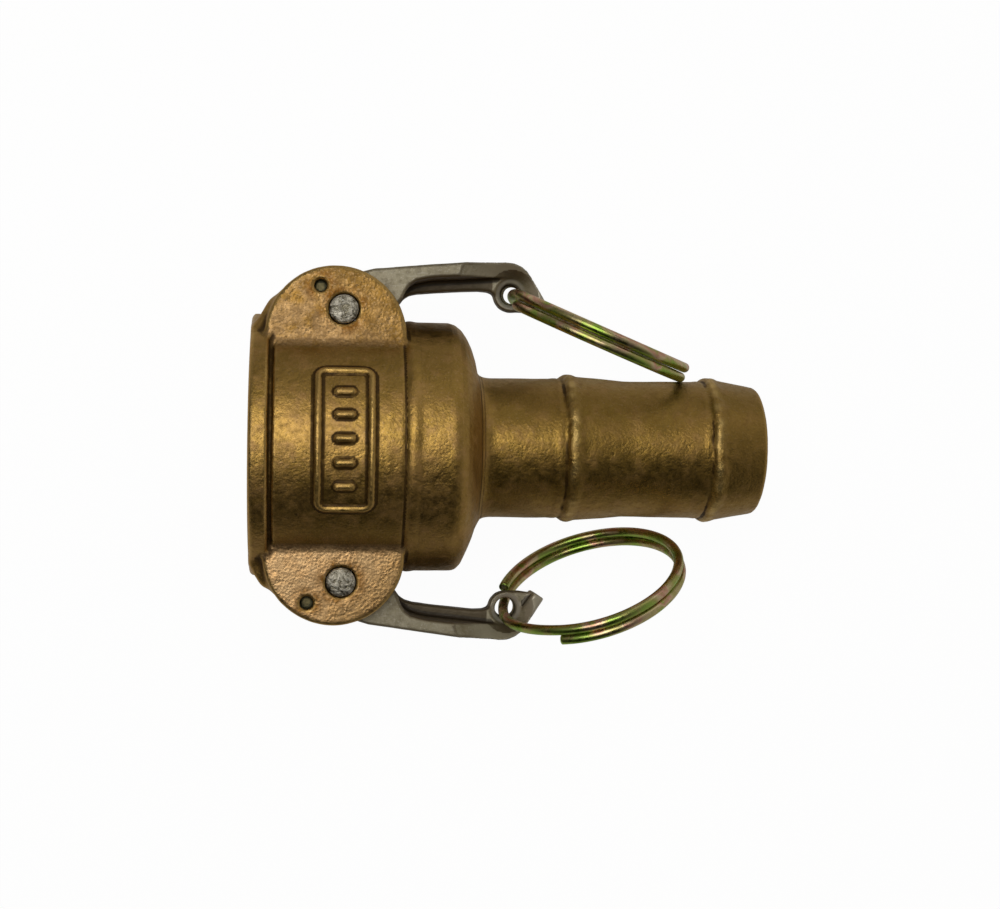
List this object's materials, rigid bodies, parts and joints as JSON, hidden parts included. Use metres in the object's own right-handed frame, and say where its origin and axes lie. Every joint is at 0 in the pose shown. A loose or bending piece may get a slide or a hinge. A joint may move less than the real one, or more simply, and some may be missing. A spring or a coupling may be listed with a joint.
{
  "type": "camlock coupling",
  "caption": "Cam-and-groove hose coupling: a cup with swinging cam arms and pull rings that lock onto an adapter, on a barbed hose shank.",
  "frame": {"origin": "centre of the bounding box at rest; the mouth's centre is 46.1 mm toward -X and 0.6625 mm toward +Y of it, on the bore's axis", "axes": "+X along the bore from the mouth to the hose end; +Z along the pivot pins, out of the face seen from above; +Y toward the upper arm"},
  "size_m": [0.0922, 0.0682, 0.0468],
  "materials": {
    "cast_brass": "as cast and tumbled, mottled golden brown, darker in the hollows",
    "gasket_rubber": "moulded, matt",
    "arm_steel": "cast, dull grey",
    "pin_steel": "bright, lightly scuffed ends",
    "ring_zinc": "yellow passivated zinc with olive, green and pink sheen"
  },
  "bodies": {
    "housing": {"body": "cast_brass", "gasket": "gasket_rubber", "pivot_pin_upper": "pin_steel", "pivot_pin_lower": "pin_steel"},
    "arm_upper": {"cam_arm_upper": "arm_steel"},
    "arm_lower": {"cam_arm_lower": "arm_steel"},
    "ring_upper": {"pull_ring_upper": "ring_zinc"},
    "ring_lower": {"pull_ring_lower": "ring_zinc"}
  },
  "joints": [
    {"name": "arm_upper_pivot", "type": "hinge", "parent": "housing", "child": "arm_upper", "pos_m": [-0.03015, 0.02426, 0], "axis": [0, 0, 1], "range_deg": [0, 100]},
    {"name": "arm_lower_pivot", "type": "hinge", "parent": "housing", "child": "arm_lower", "pos_m": [-0.03015, -0.02294, 0], "axis": [0, 0, -1], "range_deg": [0, 100]},
    {"name": "ring_upper_swing", "type": "hinge", "parent": "arm_upper", "child": "ring_upper", "pos_m": [0.0008, 0.02856, 0], "axis": [0, 0, 1], "range_deg": [0, 60]},
    {"name": "ring_lower_swing", "type": "hinge", "parent": "arm_lower", "child": "ring_lower", "pos_m": [-0.00015, -0.02834, 0], "axis": [0, 0, -1], "range_deg": [0, 40]}
  ]
}
